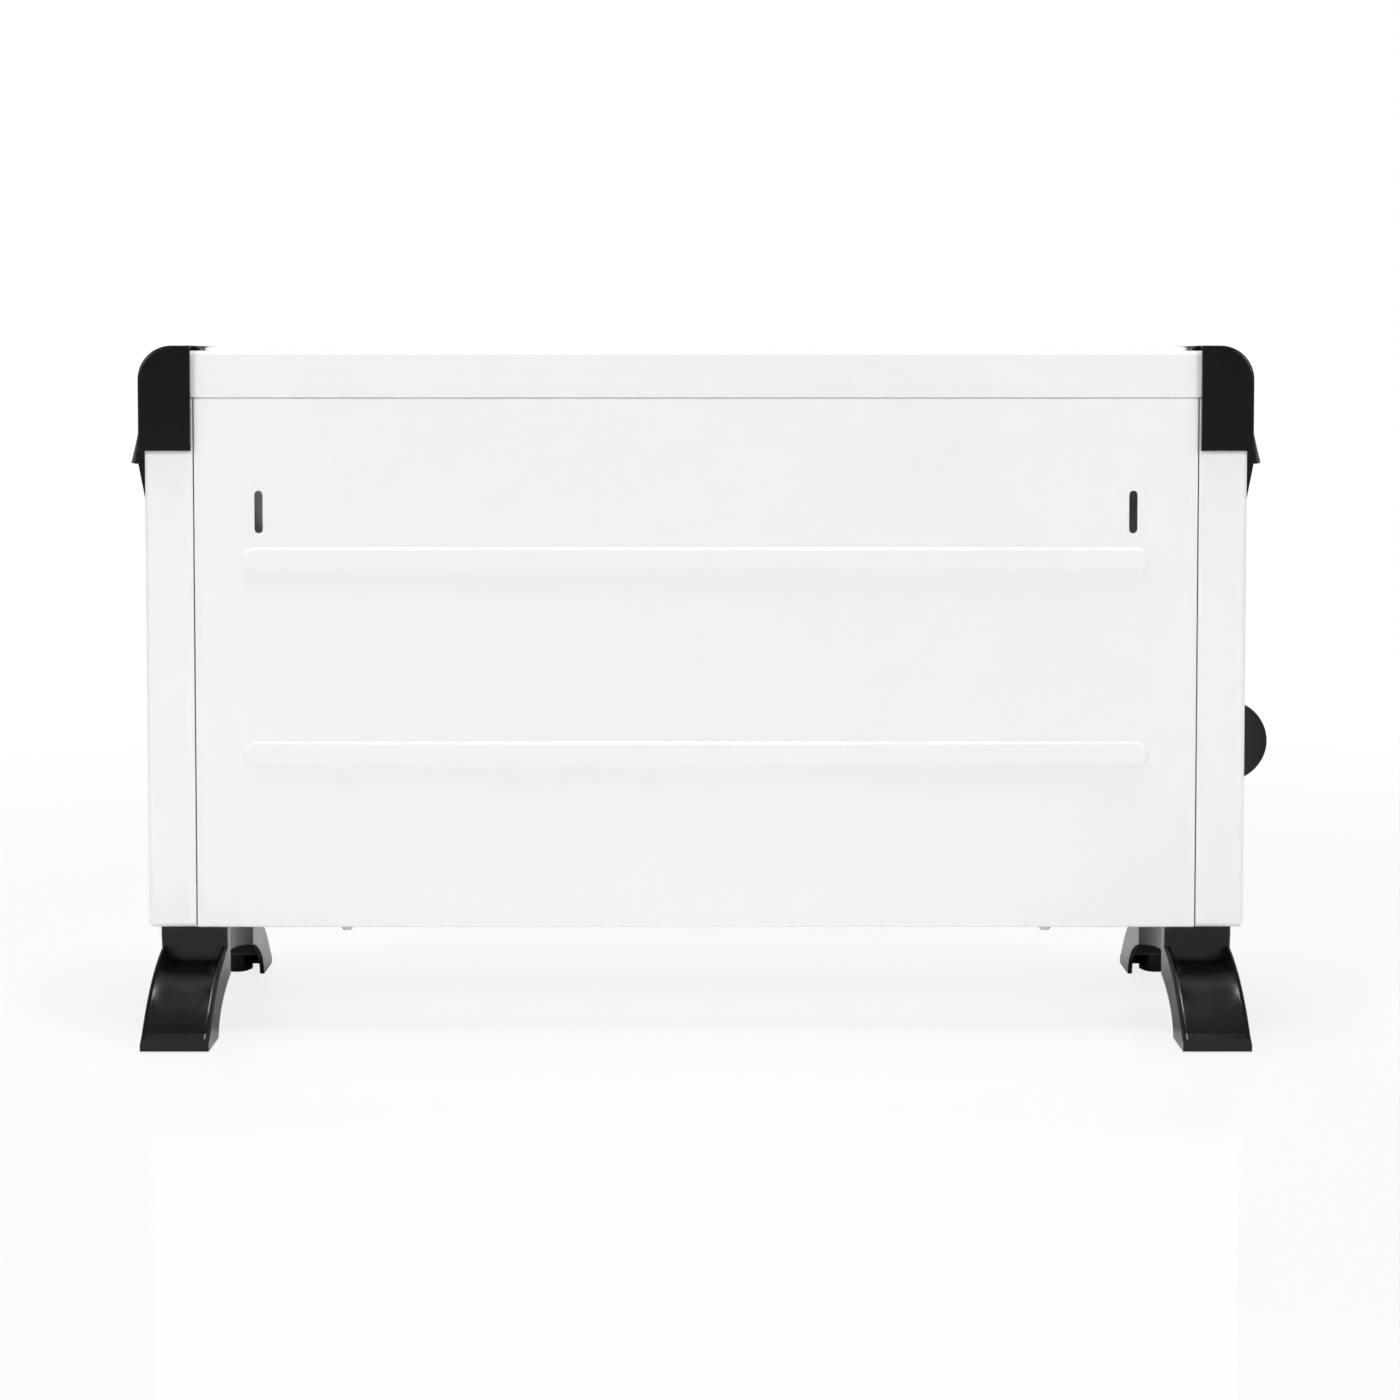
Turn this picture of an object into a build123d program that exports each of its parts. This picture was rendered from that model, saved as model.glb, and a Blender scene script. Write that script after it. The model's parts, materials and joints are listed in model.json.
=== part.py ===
from build123d import *
import os
from math import cos, radians, sin

os.makedirs("parts", exist_ok=True)

# Casing: a sheet steel box, front towards -Y, controls on its -X end, origin on the floor under its middle
body_width = 580.0
body_depth = 120.0
body_bottom = 56.0
body_top = 361.0
sheet = 0.8
bend = 1.6
cover_bend = 2.4
seam = 0.8
lap_gap = 0.3
return_lip = 8.0
channel_flange = 25.5
channel_corner = 3.0
cover_lip = 24.5
cover_end_gap = 16.0
tongue = 12.0

# Rear panel: wall slots and pressed beads
wall_slot_spacing = 460.0
wall_slot_drop = 84.7
wall_slot_width = 4.4
wall_slot_length = 22.4
bead_inset = 51.0
bead_width = 14.0
bead_height = 1.2
bead_taper = 50.0
bead_rise = 92.0
bead_drop = 110.3

# Front panel: a band of pressed louvres that lets the warm air out
louvre_bar = 10.0
louvre_height = 7.0
louvre_depth = 4.5
louvre_inset = 34.0
louvre_pitch_z = 13.0
louvre_columns = 8
louvre_rows = 3
louvre_drop = 30.7

# Top grille: long slots across the depth
outlet_slot_edge = 18.0
outlet_slot_width = 5.5
outlet_inset = 38.0
outlet_count = 36

# Base plate: intake slots, with tongues into the end channels
base_flange = 10.0
base_tongue_reach = 20.0
intake_bar = 12.0
intake_slot_width = 8.0
intake_pitch_y = 24.0
intake_columns = 7
intake_rows = 3
intake_inset = 116.0
intake_x = 14.0

# Corner caps: moulded hoods over the top corners, each with a hand grip on its outer side
cap_wall = 2.5
cap_clearance = 0.2
cap_corner = 18.0
cap_edge = 1.6
cap_start = 0.7
cap_drop = 52.5
cap_lip = 3.4
cap_lip_height = 1.8
grip_half_width = 42.0
grip_drop = 7.5
grip_top_drop = 17.0
grip_cheek_reach = 8.2
grip_reach = 16.8
grip_top_reach = 3.4
grip_corner = 3.0
cheek_length = 34.0
finger_roof_drop = 8.0

# Feet: moulded, hollow from below, 35.5 wide, with an arch between the two toes
foot_inset = 39.5
foot_width = 35.5
foot_half_length = 104.0
foot_wall = 2.5
foot_edge = 2.6
neck_half_top = 48.0
neck_half_foot = 46.5
neck_foot_z = 43.0
shoulder_y = 80.0
shoulder_z = 28.2
toe_top_y = 101.0
toe_top_z = 9.4
toe_end_z = 7.2
sole_z = 0.8
arch_half_length = 75.0
arch_height = 30.0
dish_width = 23.0
dish_length = 50.0
dish_start_z = 34.0
dish_end_y = 97.0
dish_end_z = 14.0
dish_taper = 24.0
flute_half_chord = 37.0
flute_depth = 7.5
rib_y = 66.0
rib_thickness = 2.0
foot_boss_radius = 5.2
foot_boss_length = 9.0
pad_y = 90.0
pad_radius = 7.0
pad_height = 5.0
pad_clearance = 0.1
pad_boss_wall = 1.6

# Screws
foot_screw_set = 22.5
foot_screw_y = 29.0
foot_screw_radius = 2.0
foot_screw_reach = 5.4
head_ratio = 2.0
head_height_ratio = 1.3
screw_clearance = 0.15
panel_screw_inset = 105.0
panel_screw_radius = 1.5
panel_screw_length = 7.0
bracket_screw_radius = 1.6
bracket_screw_length = 5.0
fascia_screw_radius = 1.6
fascia_screw_length = 7.0

# Controls on the -X end: a moulded fascia with two rockers over a rotary thermostat
fascia_width = 56.0
fascia_height = 150.0
fascia_corner = 6.0
fascia_proud = 1.2
fascia_rim = 3.0
fascia_back = 2.0
fascia_clearance = 0.3
knob_rise = 91.5
fascia_rise = 35.5
knob_radius = 22.0
knob_gap = 0.3
knob_grip = 8.0
knob_base = 3.0
knob_recess_radius = 9.2
knob_recess_depth = 3.4
spindle_radius = 3.0
spindle_flat = 0.8
spindle_in_knob = 9.0
spindle_in_body = 9.0
running_clearance = 0.05
bush_radius = 5.0
nut_size = 14.0
nut_height = 2.4
thermostat_size = (18.0, 27.0, 34.0)
thermostat_tab = (7.0, 5.0, 0.8)
switch_rise = (58.5, 88.5)
switch_bezel = (16.0, 23.0)
switch_bezel_height = 1.5
switch_body = (12.8, 19.6)
switch_depth = 16.0
switch_tab = (6.0, 4.8, 0.8)
rocker_length = 15.0
rocker_width = 9.6
rocker_end_height = 5.0
rocker_valley_height = 3.8
rocker_pivot_depth = 1.0
rocker_hub = 2.4
rocker_foot = 13.0
rocker_tilt = 10.0
rocker_gap = 0.3
rocker_pin_radius = 1.2
rocker_pin_reach = 1.1

# Inside: partition, element, shield, limiter, terminals and cable inlet
partition_inset = 68.0
partition_drop = 27.0
bracket_plain_inset = 54.0
bracket_control_inset = 84.0
bracket_edge = 14.0
bracket_height = 156.4
bracket_foot = 14.0
bracket_screw_y = 30.0
board_thickness = 1.0
board_y = 15.0
board_rise = 54.4
board_height = 62.0
board_overhang = 5.0
board_gap = 0.25
wire_size = 0.8
wire_margin = 7.0
wire_end_margin = 12.0
wire_turns_low = 30
wire_turns_high = 44
shield_rise = 34.4
shield_drop = 61.0
shield_lip = 8.0
cutout_radius = 8.0
cutout_height = 6.5
cutout_plate = (12.0, 24.0, 0.8)
cutout_rise = 136.4
terminal_size = (16.0, 34.0, 15.0)
terminal_inset = 28.0
terminal_y = 22.0
terminal_pitch = 10.0
terminal_bore = 2.0
gland_inset = 54.0
gland_bore = 3.6
gland_wall = 1.8
gland_flange = 8.0
gland_flange_height = 2.0
gland_above = 7.0

# Sizes that follow from the ones above
half_width = body_width / 2
half_depth = body_depth / 2
channel_inner_x = half_width - channel_flange
panel_half = channel_inner_x - seam
cover_lip_z = body_top - cover_lip
panel_top = cover_lip_z - seam
tongue_set = sheet + lap_gap
base_z = body_bottom + sheet
base_top = base_z + sheet
base_half_depth = half_depth - sheet - lap_gap
inner_depth = half_depth - sheet - lap_gap
lip_start = base_top + lap_gap
cap_outer_x = half_width + cap_wall + cap_clearance
cap_top = body_top + cap_wall + cap_clearance
cap_half_depth = half_depth + cap_wall + cap_clearance
foot_inner_x = half_width - foot_inset
foot_x = foot_inner_x + foot_width / 2
foot_screw_x = foot_inner_x + foot_screw_set
foot_screw_tip_z = base_top + foot_screw_reach
panel_screw_x = half_width - panel_screw_inset
wall_slot_z = body_top - wall_slot_drop
bead_length = body_width - 2 * bead_inset
bead_z = (body_bottom + bead_rise, body_top - bead_drop)
louvre_z = panel_top - louvre_drop
louvre_pitch_x = (body_width - 2 * louvre_inset) / louvre_columns
louvre_width = louvre_pitch_x - louvre_bar
outlet_pitch = (body_width - 2 * outlet_inset) / outlet_count
outlet_slot_length = body_depth - 2 * outlet_slot_edge
base_tongue_width = body_depth - 2 * return_lip
intake_pitch_x = (body_width - 2 * intake_inset) / (intake_columns - 1)
intake_slot_length = intake_pitch_x - intake_bar
cap_inner_x = channel_inner_x + cap_start
cap_bottom = body_top - cap_drop
grip_bottom = cap_bottom - grip_drop
grip_top = body_top - grip_top_drop
finger_roof = grip_top - finger_roof_drop
cheek_bottom = grip_bottom - cheek_length
knob_z = body_bottom + knob_rise
fascia_z = knob_z + fascia_rise
switch_z = tuple(knob_z + rise for rise in switch_rise)
partition_x = half_width - partition_inset
partition_top = body_top - partition_drop
bracket_plain_x = half_width - bracket_plain_inset
bracket_control_x = half_width - bracket_control_inset
bracket_half_width = half_depth - bracket_edge
bracket_top = base_top + bracket_height
board_bottom = base_top + board_rise
shield_bottom = base_top + shield_rise
shield_top = body_top - shield_drop
cutout_z = base_top + cutout_rise
terminal_x = half_width - terminal_inset
gland_x = half_width - gland_inset
fascia_face = half_width + fascia_proud
fascia_inner = half_width - fascia_back
knob_back = fascia_face + knob_gap
pivot_x = -(half_width - rocker_pivot_depth)
control_plane = Plane(origin=(-half_width, 0, 0), x_dir=(0, -1, 0), z_dir=(-1, 0, 0))


def save(name, piece):
    """Name a finished piece and write it to its own file."""
    piece.label = name
    export_step(piece, f"parts/{name}.step")


def outward(x):
    """The control end's plane at a distance x from the middle, facing -X."""
    return control_plane.offset(x - half_width)


def folded_sheet(plane, points, radii, width, side):
    """Sheet metal: a section line with rounded bends, thickened to one side and run both ways."""
    with BuildPart() as folded:
        with BuildSketch(plane):
            with BuildLine():
                FilletPolyline(*points, radius=radii)
                offset(amount=sheet, side=side, kind=Kind.INTERSECTION)
            make_face()
        extrude(amount=width / 2, both=True)
    return folded.part


def screw(radius, length):
    """A round-headed screw that hangs its head at the origin and points up +Z."""
    with BuildPart() as shank:
        with BuildSketch(Plane.XZ):
            with BuildLine():
                head_edge = Line((0, -radius * head_height_ratio), (radius, -radius * head_height_ratio))
                ThreePointArc(
                    head_edge @ 1,
                    (radius * head_ratio * 0.85, -radius * head_height_ratio * 0.7),
                    (radius * head_ratio, 0),
                )
                Polyline((radius * head_ratio, 0), (radius, 0), (radius, length - radius), (0, length))
                Line((0, length), (0, -radius * head_height_ratio))
            make_face()
        revolve(axis=Axis.Z)
        with BuildSketch(Plane.XY.offset(-radius * head_height_ratio)):
            Rectangle(radius * 2, radius * 0.4)
            Rectangle(radius * 0.4, radius * 2)
        extrude(amount=radius * 0.6, mode=Mode.SUBTRACT)
    return shank.part


# Front and rear panels: one folded section, hooked behind the cover's lip and turned in round the other edges
def casing_panel(facing):
    """The flat panel with its bottom lip, its top tongue and its two side lips."""
    face_y = facing * half_depth
    points = [
        (face_y - facing * return_lip, body_bottom),
        (face_y, body_bottom),
        (face_y, panel_top),
        (face_y - facing * tongue_set, panel_top),
        (face_y - facing * tongue_set, panel_top + tongue),
    ]
    side = Side.LEFT if facing > 0 else Side.RIGHT
    flat = folded_sheet(Plane.YZ, points, [bend, 0, 0], 2 * panel_half, side)
    lip_y = facing * (half_depth - return_lip / 2)
    with BuildPart() as panel:
        add(flat)
        for end in (-1, 1):
            with BuildSketch(Plane.XY.offset(lip_start)):
                with Locations((end * (panel_half - sheet / 2), lip_y)):
                    Rectangle(sheet, return_lip)
            extrude(amount=panel_top - lip_start)
    return panel.part


rear_plane = Plane(origin=(0, half_depth, 0), x_dir=(-1, 0, 0), z_dir=(0, 1, 0))
panel_screw_y = half_depth - return_lip / 2

with BuildPart() as rear_panel:
    add(casing_panel(1))
    with BuildSketch(rear_plane):
        with Locations(*[(0, z) for z in bead_z]):
            SlotOverall(bead_length, bead_width)
    extrude(amount=bead_height, taper=bead_taper)
    with BuildSketch(rear_plane.offset(-sheet)):
        with Locations(*[(0, z) for z in bead_z]):
            SlotOverall(bead_length, bead_width)
    extrude(amount=bead_height, taper=bead_taper, mode=Mode.SUBTRACT)
    with BuildSketch(rear_plane):
        with Locations((-wall_slot_spacing / 2, wall_slot_z), (wall_slot_spacing / 2, wall_slot_z)):
            SlotOverall(wall_slot_length, wall_slot_width, rotation=90)
    extrude(amount=-2 * sheet, mode=Mode.SUBTRACT)
    with BuildSketch(Plane.XY.offset(body_bottom)):
        with Locations(*[(x, panel_screw_y) for x in (-panel_screw_x, panel_screw_x)]):
            Circle(panel_screw_radius + screw_clearance)
    extrude(amount=sheet, mode=Mode.SUBTRACT)
save("rear_panel", rear_panel.part)


def louvre(grow):
    """One louvre's bulge: a quarter-round roof with closed ends, open downwards, smaller by the inset."""
    roof_z = louvre_height - grow
    with BuildPart() as bulge:
        with BuildSketch(Plane.YZ):
            with BuildLine():
                EllipticalCenterArc((-half_depth, 0), louvre_depth - grow, roof_z, start_angle=90, arc_size=90)
                Polyline(
                    (-half_depth - louvre_depth + grow, 0), (-half_depth + sheet, 0),
                    (-half_depth + sheet, roof_z), (-half_depth, roof_z),
                )
            make_face()
        extrude(amount=louvre_width / 2 - grow, both=True)
    return bulge.part


louvre_outer = louvre(0)
louvre_inner = louvre(sheet)
louvre_places = [
    ((column - (louvre_columns - 1) / 2) * louvre_pitch_x, 0, louvre_z + (row - 1) * louvre_pitch_z)
    for column in range(louvre_columns)
    for row in range(louvre_rows)
]

with BuildPart() as front_panel:
    add(casing_panel(-1))
    with Locations(*louvre_places):
        add(louvre_outer)
        add(louvre_inner, mode=Mode.SUBTRACT)
    with BuildSketch(Plane.XY.offset(body_bottom)):
        with Locations(*[(x, -panel_screw_y) for x in (-panel_screw_x, panel_screw_x)]):
            Circle(panel_screw_radius + screw_clearance)
    extrude(amount=sheet, mode=Mode.SUBTRACT)
save("front_panel", front_panel.part)

# Top grille: an upturned steel tray whose lips hang over the two panels
cover_line = [
    (-half_depth, cover_lip_z),
    (-half_depth, body_top),
    (half_depth, body_top),
    (half_depth, cover_lip_z),
]
with BuildPart() as top_grille:
    add(folded_sheet(Plane.YZ, cover_line, cover_bend, body_width - 2 * cover_end_gap, Side.RIGHT))
    with BuildSketch(Plane.XY.offset(body_top)):
        with GridLocations(outlet_pitch, 0, outlet_count, 1):
            SlotOverall(outlet_slot_length, outlet_slot_width, rotation=90)
    extrude(amount=-2 * sheet, mode=Mode.SUBTRACT)
save("top_grille", top_grille.part)


# End channels: pressed pans, open inwards and at the top, with their inner edges turned in
def end_channel(end):
    """The pan on one end of the casing, with holes in its floor for the foot's screws."""
    middle_x = end * (half_width - channel_flange / 2)
    with BuildPart() as channel:
        with BuildSketch(Plane.XY.offset(body_bottom)):
            with Locations((middle_x, 0)):
                Rectangle(channel_flange, body_depth)
        extrude(amount=panel_top - body_bottom)
        outer_face = channel.faces().sort_by(Axis.X)[-1 if end > 0 else 0]
        floor_face = channel.faces().sort_by(Axis.Z)[0]
        upright = outer_face.edges().filter_by(Axis.Z)
        underneath = floor_face.edges().filter_by(lambda edge: abs(edge.center().X) > channel_inner_x + seam)
        fillet(upright + underneath, channel_corner)
        inner_face = channel.faces().sort_by(Axis.X)[0 if end > 0 else -1]
        top_face = channel.faces().sort_by(Axis.Z)[-1]
        offset(amount=-sheet, openings=[inner_face, top_face])
        with BuildSketch(Plane.XY.offset(lip_start)):
            with Locations(*[
                (end * (channel_inner_x + sheet / 2), way * (half_depth - return_lip / 2)) for way in (-1, 1)
            ]):
                Rectangle(sheet, return_lip)
        extrude(amount=panel_top - lip_start)
        with BuildSketch(Plane.XY.offset(body_bottom)):
            with Locations(*[(end * foot_screw_x, way * foot_screw_y) for way in (-1, 1)]):
                Circle(foot_screw_radius + screw_clearance)
        extrude(amount=sheet, mode=Mode.SUBTRACT)
    return channel.part


with BuildPart() as side_panel_plain:
    add(end_channel(1))
save("side_panel_plain", side_panel_plain.part)

with BuildPart() as side_panel_control:
    add(end_channel(-1))
    with BuildSketch(control_plane):
        with Locations((0, fascia_z)):
            RectangleRounded(
                fascia_width - 2 * fascia_rim + 2 * fascia_clearance,
                fascia_height - 2 * fascia_rim + 2 * fascia_clearance,
                fascia_corner - fascia_rim + fascia_clearance,
            )
    extrude(amount=-2 * sheet, mode=Mode.SUBTRACT)
save("side_panel_control", side_panel_control.part)

# Base plate: rests on the lips of the panels and the floors of the end channels
base_line = [
    (-base_half_depth, base_z + base_flange),
    (-base_half_depth, base_z),
    (base_half_depth, base_z),
    (base_half_depth, base_z + base_flange),
]
base_half_width = panel_half - sheet - lap_gap
gland_hole = gland_bore + gland_wall + screw_clearance

with BuildPart() as base_grille:
    add(folded_sheet(Plane.YZ, base_line, bend, 2 * base_half_width, Side.LEFT))
    with BuildSketch(Plane.XY.offset(base_z)):
        Rectangle(2 * (channel_inner_x + base_tongue_reach), base_tongue_width)
    extrude(amount=sheet)
    with BuildSketch(Plane.XY.offset(base_z)):
        with Locations((intake_x, 0)):
            with GridLocations(intake_pitch_x, intake_pitch_y, intake_columns, intake_rows):
                SlotOverall(intake_slot_length, intake_slot_width)
        with Locations(*[(end * foot_screw_x, way * foot_screw_y) for end in (-1, 1) for way in (-1, 1)]):
            Circle(foot_screw_radius + screw_clearance)
        with Locations(*[
            (x, way * panel_screw_y) for x in (-panel_screw_x, panel_screw_x) for way in (-1, 1)
        ]):
            Circle(panel_screw_radius + screw_clearance)
        with Locations((-gland_x, 0)):
            Circle(gland_hole)
        with Locations(*[
            (x, way * bracket_screw_y)
            for x in (bracket_plain_x - bracket_foot / 2, -bracket_control_x + bracket_foot / 2)
            for way in (-1, 1)
        ]):
            Circle(bracket_screw_radius + screw_clearance)
    extrude(amount=sheet, mode=Mode.SUBTRACT)
save("base_grille", base_grille.part)


# Corner caps: the plain-end cap is moulded, and the other is its mirror image
def cap_outline(wall_x, top_z, start_x, corner):
    """The cap's front view: a block whose top outer corner is rounded."""
    with BuildSketch(Plane.XZ) as view:
        with BuildLine():
            FilletPolyline(
                (start_x, cap_bottom), (wall_x, cap_bottom), (wall_x, top_z), (start_x, top_z),
                radius=[0, corner],
            )
            Line((start_x, top_z), (start_x, cap_bottom))
        make_face()
    return view.sketch


def grip_section(z, inset, cheek_reach, reach):
    """The grip cut level: straight cheeks joined by a bowed face, from just inside the cap's side."""
    root_x = half_width + cap_clearance
    half = grip_half_width - inset
    with BuildSketch(Plane.XY.offset(z)) as level:
        with BuildLine():
            Line((root_x, -half), (half_width + cheek_reach - inset, -half))
            ThreePointArc(
                (half_width + cheek_reach - inset, -half),
                (half_width + reach - inset, 0),
                (half_width + cheek_reach - inset, half),
            )
            Polyline((half_width + cheek_reach - inset, half), (root_x, half), (root_x, -half))
        make_face()
        fillet(level.vertices().group_by(Axis.X)[-1], grip_corner - inset / 2)
    return level.sketch


finger_depth_share = (grip_top - finger_roof) / (grip_top - grip_bottom)
roof_cheek = grip_top_reach + (grip_cheek_reach - grip_top_reach) * finger_depth_share
roof_reach = grip_top_reach + (grip_reach - grip_top_reach) * finger_depth_share

with BuildPart() as corner_cap_plain:
    extrude(cap_outline(cap_outer_x, cap_top, cap_inner_x, cap_corner), amount=cap_half_depth, both=True)
    outside = corner_cap_plain.faces().filter_by(Axis.Y).edges()
    fillet(outside.filter_by(lambda edge: edge.center().X > cap_inner_x + 1 and edge.center().Z > cap_bottom + 1),
           cap_edge)
    with BuildSketch(Plane.XZ):
        with BuildLine():
            Polyline(
                (cap_inner_x, cap_top), (cap_inner_x - cap_lip, cap_top - cap_wall + cap_lip_height / 2),
                (cap_inner_x - cap_lip, cap_top - cap_wall), (cap_inner_x, cap_top - cap_wall),
                (cap_inner_x, cap_top),
            )
        make_face()
    extrude(amount=half_depth - cap_corner / 2, both=True)
    with BuildSketch(Plane.XY.offset(grip_bottom)):
        add(grip_section(0, 0, grip_cheek_reach, grip_reach))
    with BuildSketch(Plane.XY.offset(grip_top)):
        add(grip_section(0, 0, grip_top_reach, grip_top_reach + cap_wall / 4))
    loft()
    extrude(
        cap_outline(cap_outer_x - cap_wall, cap_top - cap_wall, cap_inner_x - 2 * cap_lip, cap_corner - cap_wall),
        amount=cap_half_depth - cap_wall, both=True, mode=Mode.SUBTRACT,
    )
    with BuildSketch(Plane.XY.offset(grip_bottom)):
        add(grip_section(0, cap_wall, grip_cheek_reach, grip_reach))
    with BuildSketch(Plane.XY.offset(finger_roof)):
        add(grip_section(0, cap_wall, roof_cheek + cap_wall / 2, roof_reach))
    loft(mode=Mode.SUBTRACT)
    for way in (-1, 1):
        cheek_y = way * (grip_half_width - cap_wall / 2)
        with BuildSketch(Plane.XZ.offset(-cheek_y)):
            with BuildLine():
                Polyline(
                    (half_width + cap_clearance, cap_bottom),
                    (half_width + cap_clearance, cheek_bottom),
                    (half_width + grip_cheek_reach - grip_corner / 2, grip_bottom),
                    (half_width + grip_cheek_reach - grip_corner / 2, cap_bottom),
                    (half_width + cap_clearance, cap_bottom),
                )
            make_face()
        extrude(amount=cap_wall / 2, both=True)
save("corner_cap_plain", corner_cap_plain.part)

with BuildPart() as corner_cap_control:
    add(mirror(corner_cap_plain.part, about=Plane.YZ, mode=Mode.PRIVATE))
save("corner_cap_control", corner_cap_control.part)


# Feet: the plain-end foot is moulded, and the other is its mirror image
def foot_profile():
    """The foot's side view: neck, convex shoulders down to the toes, and a flat sole."""
    with BuildSketch(Plane.YZ) as view:
        for way in (-1, 1):
            with BuildLine():
                Polyline((0, body_bottom), (way * neck_half_top, body_bottom), (way * neck_half_foot, neck_foot_z))
                ThreePointArc(
                    (way * neck_half_foot, neck_foot_z), (way * shoulder_y, shoulder_z),
                    (way * toe_top_y, toe_top_z),
                )
                Polyline(
                    (way * toe_top_y, toe_top_z), (way * foot_half_length, toe_end_z),
                    (way * foot_half_length, sole_z), (0, sole_z), (0, body_bottom),
                )
            make_face()
    return view.sketch


def flute(inset):
    """The round hollow down the foot's inner side, as an upright cylinder that bites into it."""
    radius = (flute_half_chord**2 + flute_depth**2) / (2 * flute_depth)
    centre_x = foot_inner_x + flute_depth - radius
    with BuildPart() as cylinder:
        with BuildSketch():
            with Locations((centre_x, 0)):
                Circle(radius + inset)
        extrude(amount=body_bottom)
    return cylinder.part


def dish(way):
    """The hollow in one toe's top: an arch-ended shape on the toe's slope, cut with leaning sides."""
    slope = Vector(0, way * (dish_end_y - neck_half_foot), dish_end_z - dish_start_z)
    slope_plane = Plane(
        origin=(foot_x, way * neck_half_foot, dish_start_z), x_dir=slope, z_dir=Vector(way, 0, 0).cross(slope)
    )
    with BuildPart() as hollow:
        with BuildSketch(slope_plane):
            with Locations((dish_length / 2 - dish_width / 4, 0)):
                Rectangle(dish_length - dish_width / 2, dish_width)
            with Locations((dish_length - dish_width / 2, 0)):
                Circle(dish_width / 2)
        extrude(amount=foot_wall * 6, taper=-dish_taper)
    return hollow.part


with BuildPart() as foot_hollow:
    with BuildSketch(Plane.YZ.offset(foot_inner_x + foot_wall)):
        with BuildLine():
            dish_floor = (dish_end_y, dish_end_z - foot_wall * 1.6)
            Polyline(
                (0, 0), (0, body_bottom - foot_wall), (neck_half_top - foot_wall * 1.4, body_bottom - foot_wall),
                (neck_half_foot - foot_wall * 1.4, dish_start_z - foot_wall * 1.6), dish_floor,
                (foot_half_length - foot_wall, toe_end_z - foot_wall), (foot_half_length - foot_wall, 0), (0, 0),
            )
        make_face()
        mirror(about=Plane.YZ)
    extrude(amount=foot_width - 2 * foot_wall)
    add(flute(foot_wall), mode=Mode.SUBTRACT)
    for way in (-1, 1):
        with Locations((foot_x, way * rib_y, 0)):
            Box(foot_width, rib_thickness, body_bottom * 2, mode=Mode.SUBTRACT)
        with Locations((foot_x, way * pad_y, 0)):
            Cylinder(pad_radius + pad_clearance + pad_boss_wall, body_bottom * 2, mode=Mode.SUBTRACT)
        with BuildSketch(Plane.XY.offset(body_bottom - foot_wall - foot_boss_length)):
            with Locations((foot_screw_x, way * foot_screw_y)):
                Circle(foot_boss_radius)
        extrude(amount=body_bottom, mode=Mode.SUBTRACT)

with BuildPart() as foot_plain:
    foot_block = extrude(foot_profile(), amount=foot_width / 2, both=True, mode=Mode.PRIVATE)
    add(foot_block.moved(Location((foot_x, 0, 0))))
    top_edges = foot_plain.faces().filter_by(Axis.X).edges().filter_by(
        lambda edge: edge.center().Z > toe_end_z and edge.center().Z < body_bottom - 1
    )
    fillet(top_edges, foot_edge)
    add(flute(0), mode=Mode.SUBTRACT)
    for way in (-1, 1):
        add(dish(way), mode=Mode.SUBTRACT)
    add(foot_hollow.part, mode=Mode.SUBTRACT)
    with BuildSketch(Plane.YZ.offset(foot_inner_x - foot_wall)):
        with Locations((0, 0)):
            Ellipse(arch_half_length, arch_height)
    extrude(amount=foot_width + 2 * foot_wall, mode=Mode.SUBTRACT)
    with BuildSketch(Plane.XY):
        with Locations(*[(foot_screw_x, way * foot_screw_y) for way in (-1, 1)]):
            Circle(foot_screw_radius + screw_clearance)
    extrude(amount=body_bottom, mode=Mode.SUBTRACT)
    with BuildSketch(Plane.XY):
        with Locations(*[(foot_x, way * pad_y) for way in (-1, 1)]):
            Circle(pad_radius + pad_clearance)
    extrude(amount=pad_height, mode=Mode.SUBTRACT)
save("foot_plain", foot_plain.part)

with BuildPart() as foot_control:
    add(mirror(foot_plain.part, about=Plane.YZ, mode=Mode.PRIVATE))
save("foot_control", foot_control.part)

foot_corners = [(end, way) for end in (-1, 1) for way in (-1, 1)]
with BuildPart() as foot_pads:
    with BuildSketch(Plane.XY):
        with Locations(*[(end * foot_x, way * pad_y) for end, way in foot_corners]):
            Circle(pad_radius)
    extrude(amount=pad_height)
save("foot_pads", foot_pads.part)

foot_screw_seat = body_bottom - foot_wall - foot_boss_length
foot_screw = screw(foot_screw_radius, foot_screw_tip_z - foot_screw_seat)
with BuildPart() as foot_screws:
    with Locations(*[(end * foot_screw_x, way * foot_screw_y, foot_screw_seat) for end, way in foot_corners]):
        add(foot_screw)
save("foot_screws", foot_screws.part)

panel_screw = screw(panel_screw_radius, panel_screw_length)
with BuildPart() as panel_screws:
    with Locations(*[
        (x, way * panel_screw_y, body_bottom) for x in (-panel_screw_x, panel_screw_x) for way in (-1, 1)
    ]):
        add(panel_screw)
save("panel_screws", panel_screws.part)

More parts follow.
